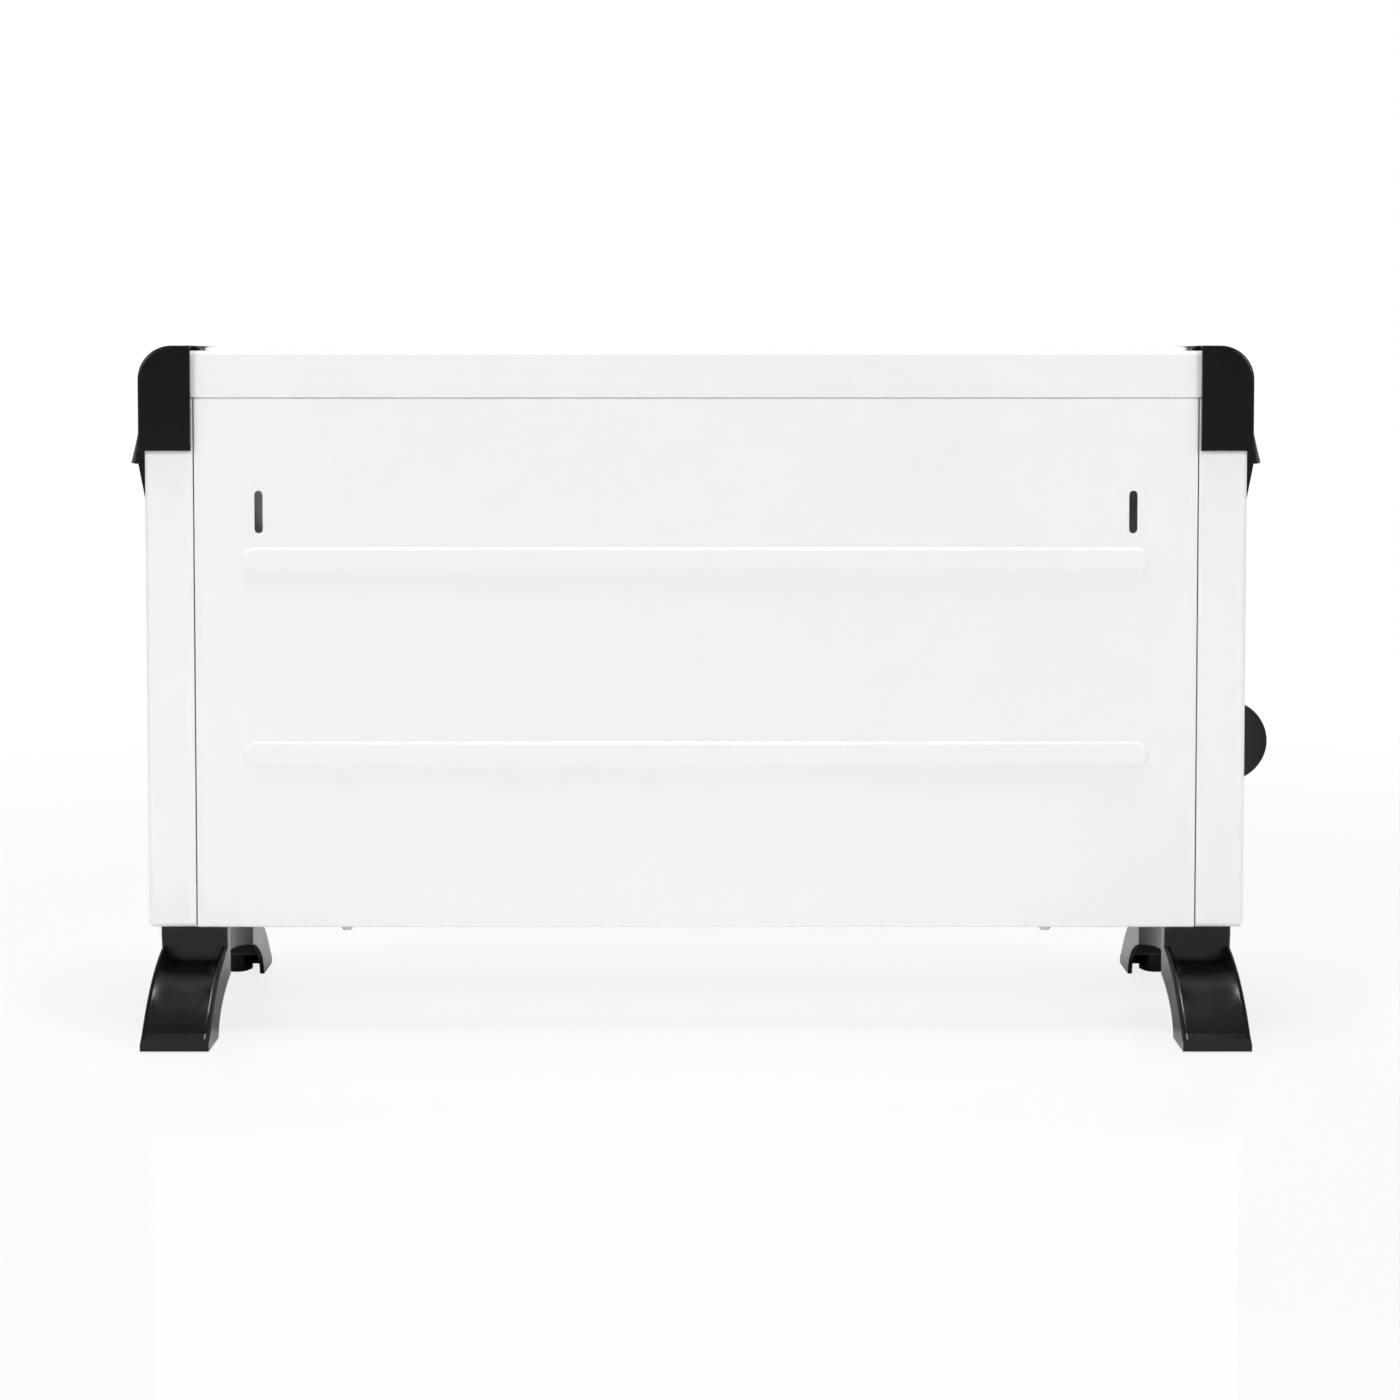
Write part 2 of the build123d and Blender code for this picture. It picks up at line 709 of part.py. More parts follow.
# Controls: the fascia fills the hole in the control end, with the thermostat and switches let into it
with BuildPart() as control_fascia:
    with BuildSketch(control_plane):
        with Locations((0, fascia_z)):
            RectangleRounded(fascia_width, fascia_height, fascia_corner)
    extrude(amount=fascia_proud)
    front_edges = control_fascia.faces().sort_by(Axis.X)[0].edges()
    fillet(front_edges, fascia_proud * 0.7)
    with BuildSketch(control_plane):
        with Locations((0, fascia_z)):
            RectangleRounded(
                fascia_width - 2 * fascia_rim, fascia_height - 2 * fascia_rim, fascia_corner - fascia_rim
            )
    extrude(amount=-fascia_back)
    with BuildSketch(outward(fascia_face)):
        with Locations((0, knob_z)):
            Circle(bush_radius + screw_clearance)
        with Locations(*[(0, z) for z in switch_z]):
            Rectangle(switch_body[0] + 2 * screw_clearance, switch_body[1] + 2 * screw_clearance)
        with Locations(*[(0, fascia_z + way * (fascia_height / 2 - fascia_rim * 2)) for way in (-1, 1)]):
            Circle(fascia_screw_radius + screw_clearance)
    extrude(amount=-2 * (fascia_proud + fascia_back), mode=Mode.SUBTRACT)
save("control_fascia", control_fascia.part)

fascia_screw = screw(fascia_screw_radius, fascia_screw_length).rotate(Axis.Y, 90)
with BuildPart() as fascia_screws:
    with Locations(*[
        (-fascia_face, 0, fascia_z + way * (fascia_height / 2 - fascia_rim * 2)) for way in (-1, 1)
    ]):
        add(fascia_screw)
save("fascia_screws", fascia_screws.part)

# Rocker switches: a snap-in housing round a rocker that tips on two moulded pins
switch_body_width, switch_body_length = switch_body
bezel_width, bezel_length = switch_bezel
tab_width, tab_length, tab_thickness = switch_tab
corner_reach = (rocker_length / 2) * cos(radians(rocker_tilt))
corner_reach += (rocker_end_height + rocker_pivot_depth) * sin(radians(rocker_tilt))
pocket_length = 2 * (corner_reach + rocker_gap)
pocket_width = rocker_width + 2 * rocker_gap
pocket_depth = rocker_pivot_depth + rocker_hub + 2 * rocker_gap
pin_hole = rocker_pin_radius + running_clearance


def switch_housing(z):
    """One switch's fixed half: bezel, body, pocket for the rocker, and two blade terminals behind."""
    with BuildPart() as housing:
        with BuildSketch(outward(fascia_face)):
            with Locations((0, z)):
                RectangleRounded(bezel_width, bezel_length, switch_bezel_height)
        extrude(amount=switch_bezel_height)
        fillet(housing.faces().sort_by(Axis.X)[0].edges(), switch_bezel_height / 2)
        with BuildSketch(outward(fascia_face)):
            with Locations((0, z)):
                Rectangle(switch_body_width, switch_body_length)
        extrude(amount=-switch_depth)
        with BuildSketch(outward(fascia_face - switch_depth)):
            with Locations((0, z)):
                with GridLocations(0, switch_body_length / 2, 1, 2):
                    Rectangle(tab_width, tab_thickness)
        extrude(amount=-tab_length - tab_width / 2)
        with BuildSketch(outward(half_width - pocket_depth)):
            with Locations((0, z)):
                Rectangle(pocket_width, pocket_length)
        extrude(amount=switch_depth, mode=Mode.SUBTRACT)
        with BuildSketch(Plane.XZ):
            with Locations((pivot_x, z)):
                Circle(pin_hole)
        extrude(amount=switch_body_width, both=True, mode=Mode.SUBTRACT)
    return housing.part


def rocker(z):
    """One rocker, dished on top and tipped off at rest, with a pin on each side."""
    tilt = radians(-rocker_tilt)
    tipped = Plane(origin=(pivot_x, 0, z), x_dir=(sin(tilt), 0, cos(tilt)), z_dir=(0, -1, 0))
    end_u = rocker_end_height + rocker_pivot_depth
    with BuildPart() as paddle:
        with BuildSketch(tipped):
            with BuildLine():
                top = ThreePointArc(
                    (-rocker_length / 2, end_u),
                    (0, rocker_valley_height + rocker_pivot_depth),
                    (rocker_length / 2, end_u),
                )
                Polyline(
                    top @ 1, (rocker_foot / 2, 0), (rocker_hub, -rocker_hub),
                    (-rocker_hub, -rocker_hub), (-rocker_foot / 2, 0), top @ 0,
                )
            make_face()
        extrude(amount=rocker_width / 2, both=True)
        fillet(paddle.faces().sort_by(Axis.X)[0].edges().filter_by(Axis.Y), rocker_gap * 2)
        with BuildSketch(tipped):
            Circle(rocker_pin_radius)
        extrude(amount=rocker_width / 2 + rocker_pin_reach, both=True)
    return paddle.part


for name, z in zip(("low", "high"), switch_z):
    save(f"switch_housing_{name}", switch_housing(z))
    save(f"rocker_{name}", rocker(z))

# Thermostat: a block with a bush through the fascia, held by a nut, turned by a spindle and knob
body_length, body_across, body_height = thermostat_size
blade_width, blade_length, blade_thickness = thermostat_tab
thermostat_front = fascia_inner - lap_gap
knob_floor = knob_back + knob_recess_depth
bush_tip = knob_floor - 2 * lap_gap
spindle_tip = knob_floor + spindle_in_knob
spindle_end = thermostat_front - spindle_in_body

with BuildPart() as thermostat_body:
    with BuildSketch(outward(thermostat_front)):
        with Locations((0, knob_z)):
            RectangleRounded(body_across, body_height, bush_radius / 2)
    extrude(amount=-body_length)
    with BuildSketch(outward(thermostat_front)):
        with Locations((0, knob_z)):
            Circle(bush_radius)
    extrude(amount=bush_tip - thermostat_front)
    with BuildSketch(outward(thermostat_front - body_length)):
        with Locations((0, knob_z)):
            with GridLocations(0, body_height / 2, 1, 2):
                Rectangle(blade_width, blade_thickness)
    extrude(amount=-blade_length - blade_width / 2)
    with BuildSketch(outward(spindle_end - lap_gap)):
        with Locations((0, knob_z)):
            Circle(spindle_radius + running_clearance)
    extrude(amount=body_length + fascia_height, mode=Mode.SUBTRACT)
save("thermostat_body", thermostat_body.part)

with BuildPart() as thermostat_nut:
    with BuildSketch(outward(fascia_face)):
        with Locations((0, knob_z)):
            RegularPolygon(nut_size / 2, 6, major_radius=False)
            Circle(bush_radius + running_clearance, mode=Mode.SUBTRACT)
    extrude(amount=nut_height)
save("thermostat_nut", thermostat_nut.part)


def flatted_circle(radius):
    """A round section with one flat, as on a spindle that drives its knob."""
    Circle(radius)
    with Locations((0, radius * 2 - spindle_flat)):
        Rectangle(radius * 2, radius * 2, mode=Mode.SUBTRACT)


with BuildPart() as thermostat_spindle:
    with BuildSketch(outward(spindle_end)):
        with Locations((0, knob_z)):
            Circle(spindle_radius)
    extrude(amount=knob_floor - lap_gap - spindle_end)
    with BuildSketch(outward(knob_floor - lap_gap)):
        with Locations((0, knob_z)):
            flatted_circle(spindle_radius)
    extrude(amount=spindle_tip - knob_floor)
save("thermostat_spindle", thermostat_spindle.part)

# The knob is modelled upright, as a scooped dome, then laid on the end with its grip upright
with BuildPart() as knob_upright:
    with BuildSketch(Plane.XY):
        with BuildLine():
            Line((0, 0), (knob_radius, 0))
            CenterArc((0, 0), knob_radius, 0, 90)
            Line((0, knob_radius), (0, 0))
        make_face()
    revolve(axis=Axis.Y)
    scoop_top = knob_radius * 1.1
    with BuildSketch(Plane.XY):
        with BuildLine():
            scoop = ThreePointArc(
                (knob_grip / 2, scoop_top),
                (knob_grip / 2 + knob_base, knob_base * 2.4),
                (knob_radius * 1.1, knob_base),
            )
            Polyline(scoop @ 1, (knob_radius * 1.1, scoop_top), scoop @ 0)
        make_face()
        mirror(about=Plane.YZ)
    extrude(amount=knob_radius * 2, both=True, mode=Mode.SUBTRACT)
    with BuildSketch(Plane.XZ):
        Circle(knob_recess_radius)
    extrude(amount=-knob_recess_depth, mode=Mode.SUBTRACT)
    with BuildSketch(Plane.XZ.offset(-knob_recess_depth)):
        flatted_circle(spindle_radius + running_clearance)
    extrude(amount=-spindle_in_knob, mode=Mode.SUBTRACT)

with BuildPart() as thermostat_knob:
    add(knob_upright.part.rotate(Axis.Z, 90).moved(Location((-knob_back, 0, knob_z))))
save("thermostat_knob", thermostat_knob.part)

# Partition between the controls and the hot space, and the two brackets that carry the element
def upright_sheet(x, foot, top, width):
    """An L of sheet steel that stands on the base plate, its foot turned inwards."""
    points = [(x - foot, base_top), (x, base_top), (x, top)]
    side = Side.LEFT if foot > 0 else Side.RIGHT
    return folded_sheet(Plane.XZ, points, [bend], width, side)


with BuildPart() as partition:
    add(upright_sheet(-partition_x, -bracket_foot / 2, partition_top, 2 * inner_depth - 2 * return_lip))
save("partition", partition.part)


def element_bracket(x, foot):
    """One bracket, slotted for the two boards, with two holes in its foot."""
    with BuildPart() as bracket:
        add(upright_sheet(x, foot, bracket_top, 2 * bracket_half_width))
        with BuildSketch(Plane.YZ.offset(x)):
            with Locations(*[(way * board_y, board_bottom + board_height / 2) for way in (-1, 1)]):
                Rectangle(board_thickness + 2 * board_gap, board_height + 2 * board_gap)
        extrude(amount=bend, both=True, mode=Mode.SUBTRACT)
        with BuildSketch(Plane.XY.offset(base_top)):
            with Locations(*[(x - foot / 2, way * bracket_screw_y) for way in (-1, 1)]):
                Circle(bracket_screw_radius + screw_clearance)
        extrude(amount=sheet, mode=Mode.SUBTRACT)
    return bracket.part


save("element_bracket_plain", element_bracket(bracket_plain_x, bracket_foot))
save("element_bracket_control", element_bracket(-bracket_control_x, -bracket_foot))

bracket_screw = screw(bracket_screw_radius, bracket_screw_length).rotate(Axis.X, 180)
with BuildPart() as bracket_screws:
    with Locations(*[
        (x, way * bracket_screw_y, base_top + sheet)
        for x in (bracket_plain_x - bracket_foot / 2, -bracket_control_x + bracket_foot / 2)
        for way in (-1, 1)
    ]):
        add(bracket_screw)
save("bracket_screws", bracket_screws.part)

# Heating element: two mica boards, each with a wire stitched to and fro across its outer face
board_start = -bracket_control_x - board_overhang
board_end = bracket_plain_x + board_overhang
wire_start = -bracket_control_x + wire_end_margin
wire_end = bracket_plain_x - wire_end_margin


def stitched_wire(way, turns):
    """A zigzag band of wire on one board's outer face, with rounded turns."""
    face_y = way * (board_y + board_thickness / 2)
    pitch = (wire_end - wire_start) / (2 * turns)
    low = board_bottom + wire_margin
    high = board_bottom + board_height - wire_margin
    crest = [(wire_start + pitch * step, high if step % 2 else low) for step in range(2 * turns + 1)]
    with BuildPart() as wire:
        with BuildSketch(Plane.XZ.offset(-face_y)):
            with BuildLine():
                Polyline(*crest)
                offset(amount=wire_size / 2)
            make_face()
        extrude(amount=-way * wire_size)
    return wire.part


for name, way, turns in (("front", -1, wire_turns_low), ("rear", 1, wire_turns_high)):
    with BuildPart() as board:
        with BuildSketch(Plane.XZ.offset(-way * board_y)):
            with Locations(((board_start + board_end) / 2, board_bottom + board_height / 2)):
                Rectangle(board_end - board_start, board_height)
        extrude(amount=board_thickness / 2, both=True)
    save(f"mica_board_{name}", board.part)
    save(f"heating_wire_{name}", stitched_wire(way, turns))

# Heat shield: a sheet between the element and the rear panel, its top edge turned forwards
shield_line = [
    (bracket_half_width, shield_bottom),
    (bracket_half_width, shield_top),
    (bracket_half_width - shield_lip, shield_top),
]
shield_middle = (bracket_plain_x - bracket_control_x) / 2
shield_width = bracket_plain_x + bracket_control_x - 2 * sheet - 2 * lap_gap
with BuildPart() as heat_shield:
    add(folded_sheet(Plane.YZ.offset(shield_middle), shield_line, [bend], shield_width, Side.LEFT))
save("heat_shield", heat_shield.part)

# Thermal cut-out: a disc on a plate, fixed to the control-side bracket above the boards
plate_across, plate_height, plate_thickness = cutout_plate
cutout_face = -bracket_control_x + sheet
with BuildPart() as thermal_cutout:
    with BuildSketch(Plane.YZ.offset(cutout_face)):
        with Locations((0, cutout_z)):
            RectangleRounded(plate_height, plate_across, plate_across / 4)
    extrude(amount=plate_thickness)
    with BuildSketch(Plane.YZ.offset(cutout_face)):
        with Locations((0, cutout_z)):
            Circle(cutout_radius)
    extrude(amount=cutout_height)
save("thermal_cutout", thermal_cutout.part)

# Terminal block: a three-way moulded block on the base plate beside the cable inlet
block_depth, block_length, block_height = terminal_size
with BuildPart() as terminal_block:
    with BuildSketch(Plane.XY.offset(base_top)):
        with Locations((-terminal_x, terminal_y)):
            RectangleRounded(block_depth, block_length, terminal_bore)
    extrude(amount=block_height)
    with BuildSketch(Plane.YZ.offset(-terminal_x)):
        with Locations((terminal_y, base_top + block_height / 2)):
            with GridLocations(terminal_pitch, 0, 3, 1):
                Circle(terminal_bore)
    extrude(amount=block_depth, both=True, mode=Mode.SUBTRACT)
save("terminal_block", terminal_block.part)

# Cable gland: a flanged bush in the base plate, the inlet for a mains cable
with BuildPart() as cable_gland:
    with BuildSketch(Plane.XY.offset(base_z)):
        with Locations((-gland_x, 0)):
            Circle(gland_flange)
    extrude(amount=-gland_flange_height)
    with BuildSketch(Plane.XY.offset(base_z)):
        with Locations((-gland_x, 0)):
            Circle(gland_bore + gland_wall)
    extrude(amount=gland_above)
    with BuildSketch(Plane.XY.offset(base_z - gland_flange_height)):
        with Locations((-gland_x, 0)):
            Circle(gland_bore)
    extrude(amount=gland_above + gland_flange_height, mode=Mode.SUBTRACT)
save("cable_gland", cable_gland.part)
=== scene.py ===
import json
from math import atan, cos, pi, radians, sin

import bpy
import numpy as np
from mathutils import Matrix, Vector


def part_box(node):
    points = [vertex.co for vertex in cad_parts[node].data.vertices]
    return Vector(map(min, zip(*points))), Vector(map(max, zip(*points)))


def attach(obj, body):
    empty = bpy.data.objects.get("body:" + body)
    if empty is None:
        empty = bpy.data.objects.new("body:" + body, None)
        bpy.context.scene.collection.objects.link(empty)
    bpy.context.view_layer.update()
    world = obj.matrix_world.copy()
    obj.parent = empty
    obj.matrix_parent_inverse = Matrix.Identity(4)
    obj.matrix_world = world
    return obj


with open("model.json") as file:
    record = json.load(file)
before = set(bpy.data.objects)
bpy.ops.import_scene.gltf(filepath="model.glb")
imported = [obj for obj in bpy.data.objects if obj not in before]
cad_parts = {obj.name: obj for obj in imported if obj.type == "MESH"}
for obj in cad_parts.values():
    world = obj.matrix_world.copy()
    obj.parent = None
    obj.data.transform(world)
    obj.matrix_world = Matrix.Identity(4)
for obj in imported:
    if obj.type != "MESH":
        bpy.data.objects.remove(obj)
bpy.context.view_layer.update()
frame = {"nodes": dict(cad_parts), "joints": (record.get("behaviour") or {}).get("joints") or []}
nodes = frame["nodes"]
joints = {joint["name"]: joint for joint in frame["joints"]}

# Casing: folded sheet steel, powder-coated white. The coat is satin, with the fine orange-peel
# skin that baked powder leaves and a very slight cloudiness from panel to panel.
ENAMEL = (0.885, 0.887, 0.895)
ENAMEL_ROUGHNESS = 0.36
PEEL_SCALE = 620.0
PEEL_DEPTH = 0.00006


def finish_material(name, colour, roughness, metallic=0.0, grain=600.0, depth=0.00005, mottle=0.04,
                    patch=14.0, stretch=(1, 1, 1), specular=0.5, roughness_spread=0.06):
    """One finish: noise of the grain's scale lifts the surface by the depth, while broad noise
    moves the colour by the mottle and the roughness by its spread, round the given values."""
    material = bpy.data.materials.new(name)
    material.use_nodes = True
    tree = material.node_tree
    shader = tree.nodes["Principled BSDF"]
    shader.inputs["Metallic"].default_value = metallic
    shader.inputs["Specular IOR Level"].default_value = specular
    place = tree.nodes.new("ShaderNodeTexCoord")
    turn = tree.nodes.new("ShaderNodeMapping")
    turn.inputs["Scale"].default_value = stretch
    tree.links.new(place.outputs["Object"], turn.inputs["Vector"])
    fine = tree.nodes.new("ShaderNodeTexNoise")
    fine.inputs["Scale"].default_value = grain
    fine.inputs["Detail"].default_value = 3.0
    broad = tree.nodes.new("ShaderNodeTexNoise")
    broad.inputs["Scale"].default_value = patch
    broad.inputs["Detail"].default_value = 4.0
    for noise in (fine, broad):
        tree.links.new(turn.outputs["Vector"], noise.inputs["Vector"])
    bump = tree.nodes.new("ShaderNodeBump")
    bump.inputs["Strength"].default_value = 1.0
    bump.inputs["Distance"].default_value = depth
    tree.links.new(fine.outputs["Fac"], bump.inputs["Height"])
    tree.links.new(bump.outputs["Normal"], shader.inputs["Normal"])
    tint = tree.nodes.new("ShaderNodeMix")
    tint.data_type = "RGBA"
    tint.inputs["A"].default_value = (*[c * (1 - mottle) for c in colour], 1)
    tint.inputs["B"].default_value = (*[min(1, c * (1 + mottle)) for c in colour], 1)
    tree.links.new(broad.outputs["Fac"], tint.inputs["Factor"])
    tree.links.new(tint.outputs["Result"], shader.inputs["Base Color"])
    spread = tree.nodes.new("ShaderNodeMapRange")
    spread.inputs["To Min"].default_value = roughness - roughness_spread
    spread.inputs["To Max"].default_value = roughness + roughness_spread
    tree.links.new(broad.outputs["Fac"], spread.inputs["Value"])
    tree.links.new(spread.outputs["Result"], shader.inputs["Roughness"])
    return material


def dress(material, *names):
    """Give CAD nodes one finish."""
    for name in names:
        mesh = nodes[name].data
        mesh.materials.clear()
        mesh.materials.append(material)


enamel = finish_material("white_enamel", ENAMEL, ENAMEL_ROUGHNESS, grain=PEEL_SCALE, depth=PEEL_DEPTH,
                         mottle=0.008)
dress(enamel, "rear_panel", "front_panel", "top_grille", "side_panel_plain", "side_panel_control",
      "base_grille")

# Corner caps, feet, fascia and cable gland: injection-moulded black plastic with a satin skin.
# The tool's fine spark texture breaks up the highlights without hiding the rounded edges.
BLACK = (0.0042, 0.0042, 0.0060)
BLACK_ROUGHNESS = 0.23
BLACK_SPECULAR = 0.3
SPARK_SCALE = 1500.0
SPARK_DEPTH = 0.00004
black = finish_material("black_plastic", BLACK, BLACK_ROUGHNESS, grain=SPARK_SCALE, depth=SPARK_DEPTH,
                        mottle=0.12, patch=40.0, specular=BLACK_SPECULAR)
dress(black, "corner_cap_plain", "corner_cap_control", "foot_plain", "foot_control", "control_fascia",
      "cable_gland", "switch_housing_low", "switch_housing_high")

# Knob and rockers: the same black plastic from polished tools, so they are glossier than the caps.
GLOSS_ROUGHNESS = 0.2
gloss = finish_material("black_gloss_plastic", BLACK, GLOSS_ROUGHNESS, grain=900.0, depth=0.00001,
                        mottle=0.1, patch=60.0, roughness_spread=0.04, specular=BLACK_SPECULAR)
dress(gloss, "thermostat_knob", "rocker_low", "rocker_high")

# Foot pads: soft black rubber discs, dull and slightly dusty, pressed into the toes.
RUBBER = (0.03, 0.03, 0.031)
rubber = finish_material("pad_rubber", RUBBER, 0.82, grain=1200.0, depth=0.0001, mottle=0.25, patch=120.0)
dress(rubber, "foot_pads")

# Metal inside: zinc-plated brackets, partition, limiter and screws, a brass nut and spindle,
# and a mill-finish aluminium shield, whose rolling marks run along the heater.
ZINC = (0.60, 0.61, 0.63)
BRASS = (0.70, 0.55, 0.28)
ALUMINIUM = (0.76, 0.77, 0.78)
ROLLED = (0.06, 1, 1)
zinc = finish_material("plated_steel", ZINC, 0.38, 1.0, grain=500.0, depth=0.00003, mottle=0.12, patch=90.0)
dress(zinc, "partition", "element_bracket_plain", "element_bracket_control", "thermal_cutout", "foot_screws",
      "panel_screws", "bracket_screws", "fascia_screws")
brass = finish_material("brass", BRASS, 0.3, 1.0, grain=900.0, depth=0.00002, mottle=0.1, patch=150.0)
dress(brass, "thermostat_nut", "thermostat_spindle")
aluminium = finish_material("shield_aluminium", ALUMINIUM, 0.42, 1.0, grain=900.0, depth=0.00004,
                            mottle=0.06, patch=50.0, stretch=ROLLED)
dress(aluminium, "heat_shield")

# Element and terminals: flaky tan mica boards, oxidised resistance wire, and off-white ceramic
# blocks for the thermostat and the mains terminals.
MICA = (0.42, 0.35, 0.23)
WIRE = (0.20, 0.18, 0.17)
CERAMIC = (0.74, 0.71, 0.64)
mica = finish_material("mica", MICA, 0.5, grain=260.0, depth=0.00008, mottle=0.3, patch=110.0,
                       stretch=(0.4, 1, 1))
dress(mica, "mica_board_front", "mica_board_rear")
wire = finish_material("resistance_wire", WIRE, 0.55, 1.0, grain=800.0, depth=0.00003, mottle=0.3,
                       patch=70.0)
dress(wire, "heating_wire_front", "heating_wire_rear")
ceramic = finish_material("ceramic_white", CERAMIC, 0.62, grain=700.0, depth=0.00005, mottle=0.06,
                          patch=80.0)
dress(ceramic, "terminal_block", "thermostat_body")

# Dial scale: pad-printed white ticks and plain numbers round the knob, on the fascia's face.
# The ink stands a few hundredths of a millimetre proud.
INK = (0.80, 0.80, 0.80)
INK_LIFT = 0.00006
SCALE_START = -135.0
SCALE_STEP = 45.0
SCALE_COUNT = 7
TICK_INNER = 0.0229
TICK_OUTER = 0.0243
TICK_HALF_WIDTH = 0.00022
NUMBER_RADIUS = 0.0262
NUMBER_SIZE = 0.0034
ink = finish_material("printed_ink", INK, 0.5, grain=2000.0, depth=0.00001, mottle=0.03, patch=300.0)
face_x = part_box("control_fascia")[0].x
knob_low, knob_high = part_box("thermostat_knob")
knob_z = (knob_low.z + knob_high.z) / 2


def grid_mesh(name, points, material, body, wrap=False):
    """A sheet from an array of points, rows by columns: each four neighbours make a face, and with
    wrap the last column joins the first."""
    rows, columns = points.shape[:2]
    index = np.arange(rows * columns).reshape(rows, columns)
    if wrap:
        index = np.concatenate([index, index[:, :1]], axis=1)
    corners = [index[:-1, :-1], index[:-1, 1:], index[1:, 1:], index[1:, :-1]]
    faces = np.stack(corners, axis=-1).reshape(-1, 4)
    mesh = bpy.data.meshes.new(name)
    mesh.from_pydata(points.reshape(-1, 3).tolist(), [], faces.tolist())
    mesh.materials.append(material)
    mesh.polygons.foreach_set("use_smooth", [True] * len(faces))
    piece = bpy.data.objects.new(name, mesh)
    bpy.context.collection.objects.link(piece)
    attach(piece, body)
    return piece


def tick_strip(angle):
    """A short bar that points away from the knob's axis: radius runs along it, and the side runs
    across it, turned by the angle from upright, clockwise as a reader at the control end sees it."""
    radius = np.linspace(TICK_INNER, TICK_OUTER, 3)[:, None]
    side = np.array([-1, 1])[None, :] * TICK_HALF_WIDTH
    right = radius * sin(angle) + side * cos(angle)
    up = radius * cos(angle) - side * sin(angle)
    return np.stack([np.full_like(right, face_x - INK_LIFT), -right, knob_z + up], axis=-1)


def printed_number(word, angle):
    """A number as a thin mesh, upright on the fascia at its place round the knob."""
    curve = bpy.data.curves.new(f"number_{word}", "FONT")
    curve.body = word
    curve.size = NUMBER_SIZE
    curve.align_x = "CENTER"
    curve.align_y = "CENTER"
    text = bpy.data.objects.new(f"number_{word}", curve)
    bpy.context.collection.objects.link(text)
    mesh = bpy.data.meshes.new_from_object(text)
    bpy.data.objects.remove(text)
    right, up = NUMBER_RADIUS * sin(angle), NUMBER_RADIUS * cos(angle)
    to_face = Matrix((
        (0, 0, -1, face_x - INK_LIFT), (-1, 0, 0, -right), (0, 1, 0, knob_z + up), (0, 0, 0, 1),
    ))
    mesh.transform(to_face)
    mesh.materials.clear()
    mesh.materials.append(ink)
    piece = bpy.data.objects.new(f"scale_number_{word}", mesh)
    bpy.context.collection.objects.link(piece)
    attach(piece, "casing")


for step in range(SCALE_COUNT):
    angle = radians(SCALE_START + step * SCALE_STEP)
    grid_mesh(f"scale_tick_{step}", tick_strip(angle), ink, "casing")
    printed_number(str(step), angle)

# Outlet rim: a low pressed rib round the field of slots on the top cover, which shows as a white
# line between the caps. It rides with the casing, in the same enamel.
RIM_HALF_X = 0.2599
RIM_HALF_Y = 0.0447
RIM_CORNER = 0.006
RIM_HALF_WIDTH = 0.0017
RIM_HEIGHT = 0.0022
RIM_FULLNESS = 0.7
RIM_POINTS = 96
RIM_ROWS = 9
cover_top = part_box("top_grille")[1].z


def rim_surface():
    """Across the rib, height is its full height times the cosine of a half turn, to the power of the
    fullness. It runs round a rectangle with round corners: each point of the path is a corner's
    centre plus the corner radius along its outward direction."""
    turn = np.linspace(0, 2 * pi, RIM_POINTS, endpoint=False) + pi / RIM_POINTS
    out_x, out_y = np.cos(turn), np.sin(turn)
    centre_x = np.sign(out_x) * (RIM_HALF_X - RIM_CORNER)
    centre_y = np.sign(out_y) * (RIM_HALF_Y - RIM_CORNER)
    across = np.linspace(-1, 1, RIM_ROWS)[:, None]
    radius = RIM_CORNER + across * RIM_HALF_WIDTH
    height = RIM_HEIGHT * np.cos(across * pi / 2) ** RIM_FULLNESS + np.zeros((1, RIM_POINTS))
    return np.stack([centre_x + radius * out_x, centre_y + radius * out_y, cover_top + height], axis=-1)


grid_mesh("outlet_rim", rim_surface(), enamel, "casing", wrap=True)

# Toe tops: the moulding's smooth skin over each toe, a broad soft channel that starts at a straight
# crease under the neck and runs out at the tip. It rides with the casing, in the black plastic.
SKIN_START = (0.0468, 0.0340, 0.0430)
SKIN_MIDDLE = (0.0800, 0.0276, 0.0285)
SKIN_END = (0.1006, 0.0094, 0.0099)
SKIN_HALF_WIDTH = 0.0151
SKIN_SPLIT = 0.6
SKIN_NECK_POWER = 9
SKIN_TIP_POWER = 3
SKIN_ROWS = 40
SKIN_COLUMNS = 41


def toe_skin(end, way):
    """Along the toe, y, the floor's z and the rim's z each follow the quadratic through their three
    given values. Across it, z climbs from floor to rim with a power of the distance from the middle,
    and the power falls evenly from the neck to the tip."""
    low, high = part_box("foot_plain")
    middle_x = (low.x + high.x) / 2
    step = np.linspace(0, 1, SKIN_ROWS)[:, None]
    side = np.linspace(-1, 1, SKIN_COLUMNS)[None, :]
    start, middle, tip = (np.array(station) for station in (SKIN_START, SKIN_MIDDLE, SKIN_END))
    weight_start = (step - SKIN_SPLIT) * (step - 1) / SKIN_SPLIT
    weight_middle = step * (step - 1) / (SKIN_SPLIT * (SKIN_SPLIT - 1))
    weight_tip = step * (step - SKIN_SPLIT) / (1 - SKIN_SPLIT)
    y, floor_z, rim_z = (
        start[i] * weight_start + middle[i] * weight_middle + tip[i] * weight_tip for i in range(3)
    )
    power = SKIN_NECK_POWER + (SKIN_TIP_POWER - SKIN_NECK_POWER) * step
    z = floor_z + (rim_z - floor_z) * np.abs(side) ** power
    x = end * (middle_x + side * SKIN_HALF_WIDTH) + np.zeros_like(z)
    return np.stack([x, way * y + np.zeros_like(z), z], axis=-1)


